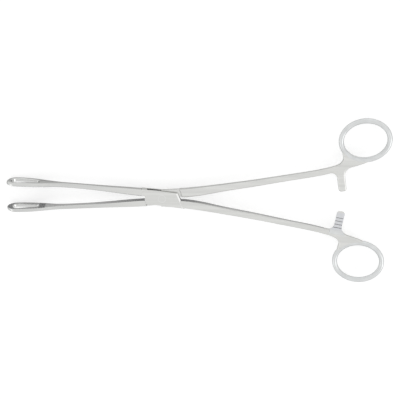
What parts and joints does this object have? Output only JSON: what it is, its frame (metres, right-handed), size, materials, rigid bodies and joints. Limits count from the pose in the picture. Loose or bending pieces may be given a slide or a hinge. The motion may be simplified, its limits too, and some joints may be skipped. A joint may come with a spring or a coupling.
{
  "type": "sponge forceps",
  "caption": "Ring-handled box-lock forceps with long straight shanks, oval windowed jaws with cross grooves, and a ratchet between the finger rings.",
  "frame": {"origin": "where the pivot axis meets the lower flat of the box lock", "axes": "+Z along the pivot axis, out of the upper flat of the lock; +X from the jaws to the finger rings, midway between the halves; +Y towards the ring of the male half"},
  "size_m": [0.2462, 0.1122, 0.0124],
  "materials": {
    "forged_steel": "satin ground stainless steel, jaws polished brighter",
    "pin_steel": "ground flush and satin like the lock"
  },
  "bodies": {
    "female": {"female_half": "forged_steel", "pivot_pin": "pin_steel"},
    "male": {"male_half": "forged_steel"}
  },
  "joints": [
    {"name": "lock_pivot", "type": "hinge", "parent": "female", "child": "male", "pos_m": [0, 0, 0], "axis": [0, 0, 1], "range_deg": [-8.8, 31.2]}
  ]
}
